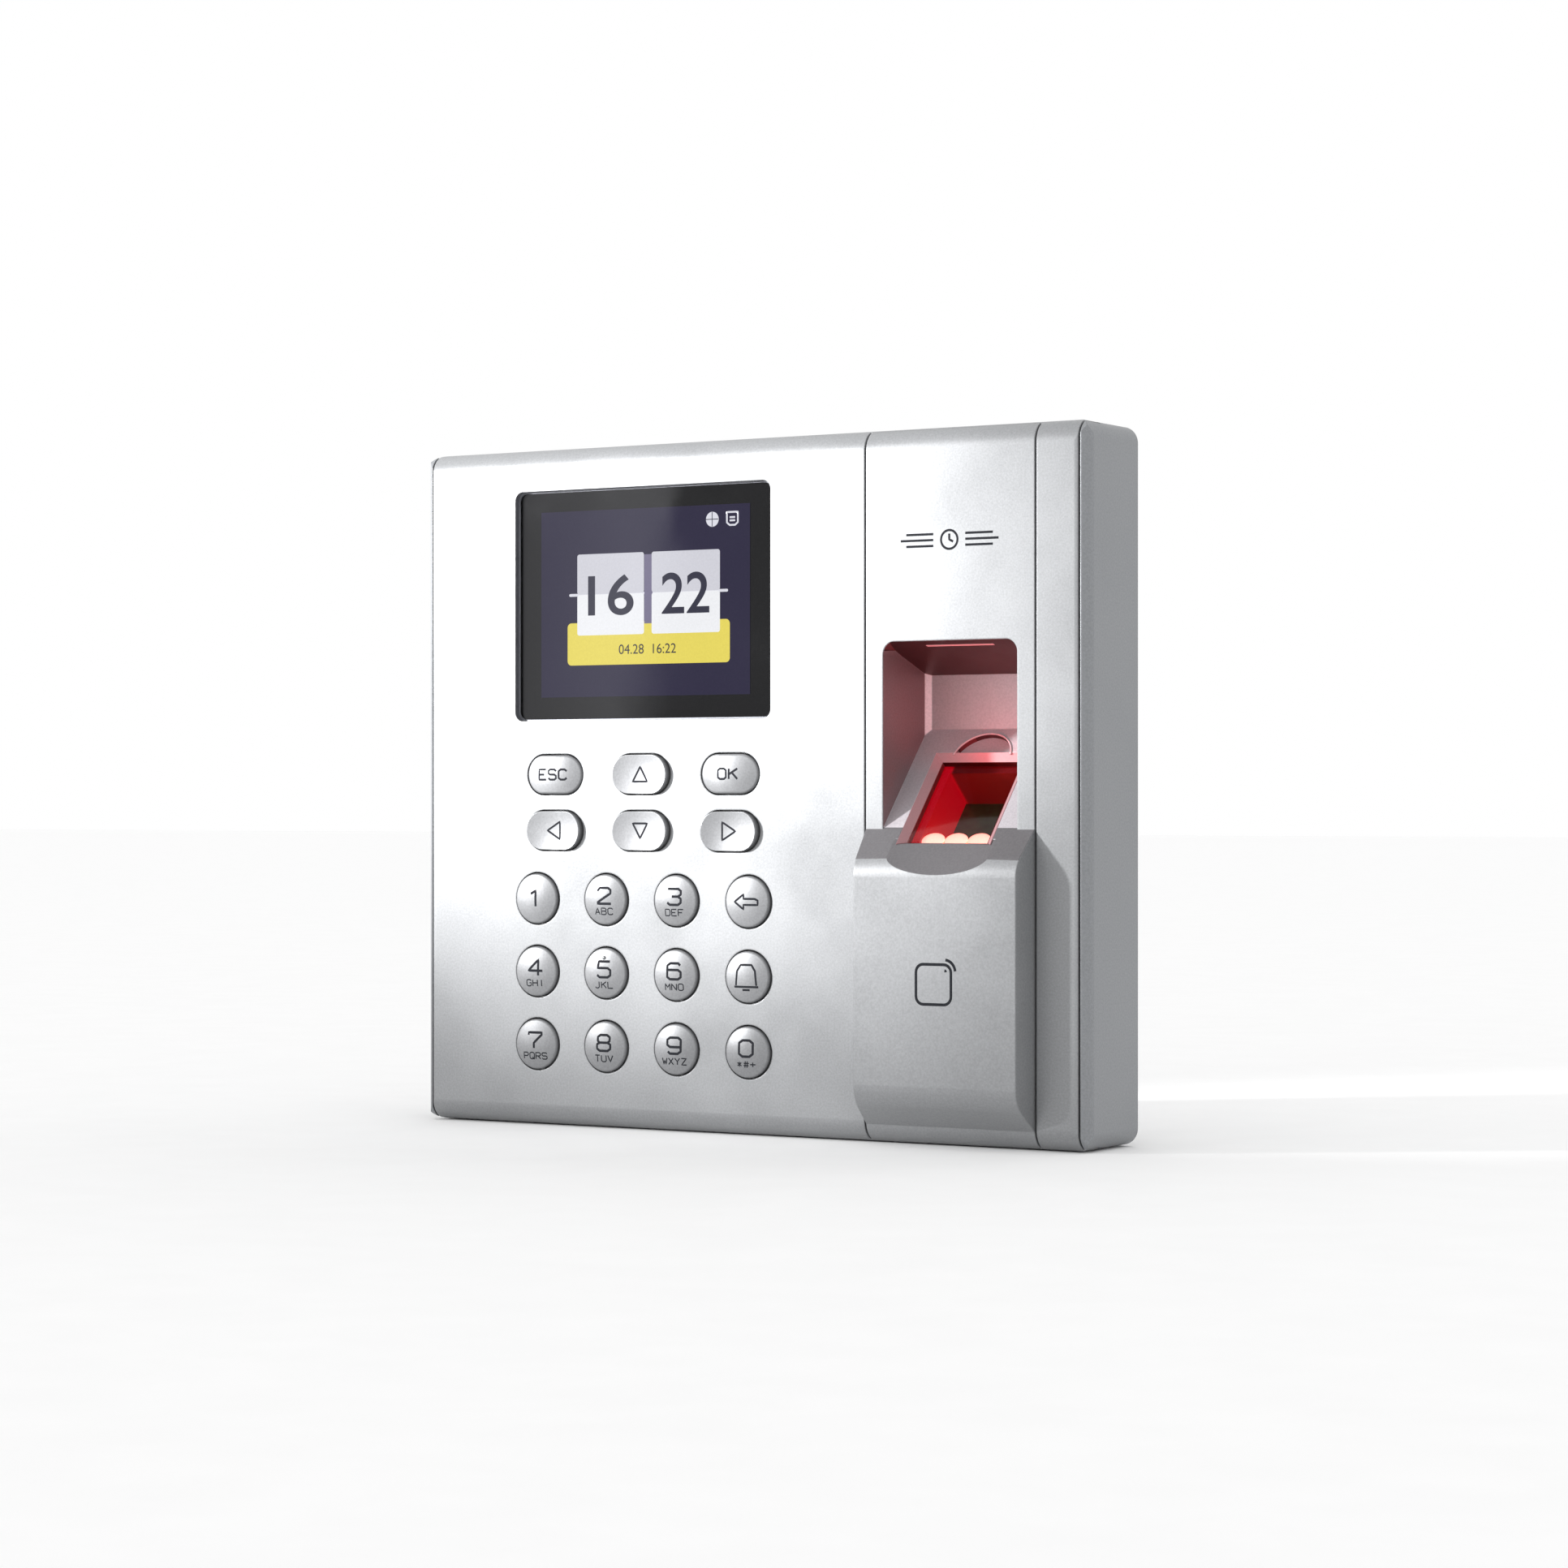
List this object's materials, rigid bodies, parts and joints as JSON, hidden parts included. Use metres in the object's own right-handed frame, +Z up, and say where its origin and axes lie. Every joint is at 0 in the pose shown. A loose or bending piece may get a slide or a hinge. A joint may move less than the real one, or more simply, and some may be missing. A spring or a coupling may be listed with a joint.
{
  "type": "punch time clock",
  "caption": "Wall time clock terminal with a colour screen, oval and round keys, a recessed red fingerprint window and a raised card pod.",
  "frame": {"origin": "centre of the wall plate's back face, which lies on the wall", "axes": "+Z up, -Y out of the wall toward the user, +X to the user's right"},
  "size_m": [0.15, 0.0375, 0.134],
  "materials": {
    "silver_paint": "fine metallic silver, satin",
    "silver_column": "fine metallic silver, satin",
    "silver_housing": "fine metallic silver, satin",
    "silver_keys": "silver, satin, printed",
    "zinc_steel": "zinc plated sheet",
    "lens_black": "smoked, black printed border",
    "foam": "matte foam",
    "lcd_glass": "lit colour screen",
    "white_film": "white diffuser",
    "tray_steel": "pressed sheet",
    "silicone": "matte silicone",
    "green_board": "coated board",
    "tin_plate": "tinned sheet",
    "jack_shell": "black moulding",
    "black_plastic": "black moulding",
    "battery_wrap": "shrink wrap",
    "lead_cover": "insulation",
    "cell_steel": "polished cell",
    "speaker_black": "black moulding",
    "red_glass": "red lit glass",
    "sensor_red": "red lit moulding",
    "lamp_red": "clear lamp, lit",
    "ribbon_amber": "amber film",
    "switch_grey": "grey moulding",
    "label_white": "blank label",
    "screw_steel": "plated"
  },
  "bodies": {
    "terminal": {"front_cover": "silver_paint", "finger_column": "silver_column", "housing": "silver_housing", "wall_plate": "zinc_steel", "display_lens": "lens_black", "display_gasket": "foam", "lcd_panel": "lcd_glass", "lcd_backlight": "white_film", "lcd_frame": "tray_steel", "keypad_mat": "silicone", "keypad_board": "green_board", "main_board": "green_board", "card_aerial": "green_board", "sensor_board": "green_board", "processor_shield": "tin_plate", "network_jack": "jack_shell", "power_jack": "black_plastic", "usb_port": "tin_plate", "battery_pack": "battery_wrap", "battery_lead": "lead_cover", "coin_cell": "cell_steel", "coin_cell_holder": "black_plastic", "speaker": "speaker_black", "speaker_gasket": "foam", "speaker_lead": "lead_cover", "sensor_glass": "red_glass", "sensor_body": "sensor_red", "sensor_lamps": "lamp_red", "sensor_lead": "lead_cover", "aerial_lead": "lead_cover", "lcd_ribbon": "ribbon_amber", "keypad_ribbon": "ribbon_amber", "tamper_switch": "switch_grey", "rating_label": "label_white", "column_screws": "screw_steel", "case_screws": "screw_steel", "lcd_screws": "screw_steel", "keypad_screws": "screw_steel", "main_board_screws": "screw_steel", "sensor_screws": "screw_steel", "plate_lock_screw": "screw_steel"},
    "tamper": {"tamper_plunger": "black_plastic"},
    "key_esc_cap": {"key_esc": "silver_keys"},
    "key_up_cap": {"key_up": "silver_keys"},
    "key_ok_cap": {"key_ok": "silver_keys"},
    "key_left_cap": {"key_left": "silver_keys"},
    "key_down_cap": {"key_down": "silver_keys"},
    "key_right_cap": {"key_right": "silver_keys"},
    "key_1_cap": {"key_1": "silver_keys"},
    "key_2_cap": {"key_2": "silver_keys"},
    "key_3_cap": {"key_3": "silver_keys"},
    "key_backspace_cap": {"key_backspace": "silver_keys"},
    "key_4_cap": {"key_4": "silver_keys"},
    "key_5_cap": {"key_5": "silver_keys"},
    "key_6_cap": {"key_6": "silver_keys"},
    "key_bell_cap": {"key_bell": "silver_keys"},
    "key_7_cap": {"key_7": "silver_keys"},
    "key_8_cap": {"key_8": "silver_keys"},
    "key_9_cap": {"key_9": "silver_keys"},
    "key_0_cap": {"key_0": "silver_keys"}
  },
  "joints": [
    {"name": "key_esc_press", "type": "slide", "parent": "terminal", "child": "key_esc_cap", "axis": [0, 1, 0], "range_m": [0, 0.001], "stiffness_N_per_m": 1200},
    {"name": "key_up_press", "type": "slide", "parent": "terminal", "child": "key_up_cap", "axis": [0, 1, 0], "range_m": [0, 0.001], "stiffness_N_per_m": 1200},
    {"name": "key_ok_press", "type": "slide", "parent": "terminal", "child": "key_ok_cap", "axis": [0, 1, 0], "range_m": [0, 0.001], "stiffness_N_per_m": 1200},
    {"name": "key_left_press", "type": "slide", "parent": "terminal", "child": "key_left_cap", "axis": [0, 1, 0], "range_m": [0, 0.001], "stiffness_N_per_m": 1200},
    {"name": "key_down_press", "type": "slide", "parent": "terminal", "child": "key_down_cap", "axis": [0, 1, 0], "range_m": [0, 0.001], "stiffness_N_per_m": 1200},
    {"name": "key_right_press", "type": "slide", "parent": "terminal", "child": "key_right_cap", "axis": [0, 1, 0], "range_m": [0, 0.001], "stiffness_N_per_m": 1200},
    {"name": "key_1_press", "type": "slide", "parent": "terminal", "child": "key_1_cap", "axis": [0, 1, 0], "range_m": [0, 0.001], "stiffness_N_per_m": 1200},
    {"name": "key_2_press", "type": "slide", "parent": "terminal", "child": "key_2_cap", "axis": [0, 1, 0], "range_m": [0, 0.001], "stiffness_N_per_m": 1200},
    {"name": "key_3_press", "type": "slide", "parent": "terminal", "child": "key_3_cap", "axis": [0, 1, 0], "range_m": [0, 0.001], "stiffness_N_per_m": 1200},
    {"name": "key_backspace_press", "type": "slide", "parent": "terminal", "child": "key_backspace_cap", "axis": [0, 1, 0], "range_m": [0, 0.001], "stiffness_N_per_m": 1200},
    {"name": "key_4_press", "type": "slide", "parent": "terminal", "child": "key_4_cap", "axis": [0, 1, 0], "range_m": [0, 0.001], "stiffness_N_per_m": 1200},
    {"name": "key_5_press", "type": "slide", "parent": "terminal", "child": "key_5_cap", "axis": [0, 1, 0], "range_m": [0, 0.001], "stiffness_N_per_m": 1200},
    {"name": "key_6_press", "type": "slide", "parent": "terminal", "child": "key_6_cap", "axis": [0, 1, 0], "range_m": [0, 0.001], "stiffness_N_per_m": 1200},
    {"name": "key_bell_press", "type": "slide", "parent": "terminal", "child": "key_bell_cap", "axis": [0, 1, 0], "range_m": [0, 0.001], "stiffness_N_per_m": 1200},
    {"name": "key_7_press", "type": "slide", "parent": "terminal", "child": "key_7_cap", "axis": [0, 1, 0], "range_m": [0, 0.001], "stiffness_N_per_m": 1200},
    {"name": "key_8_press", "type": "slide", "parent": "terminal", "child": "key_8_cap", "axis": [0, 1, 0], "range_m": [0, 0.001], "stiffness_N_per_m": 1200},
    {"name": "key_9_press", "type": "slide", "parent": "terminal", "child": "key_9_cap", "axis": [0, 1, 0], "range_m": [0, 0.001], "stiffness_N_per_m": 1200},
    {"name": "key_0_press", "type": "slide", "parent": "terminal", "child": "key_0_cap", "axis": [0, 1, 0], "range_m": [0, 0.001], "stiffness_N_per_m": 1200},
    {"name": "tamper_push", "type": "slide", "parent": "terminal", "child": "tamper", "axis": [0, -1, 0], "range_m": [0, 0.0015], "stiffness_N_per_m": 900}
  ]
}
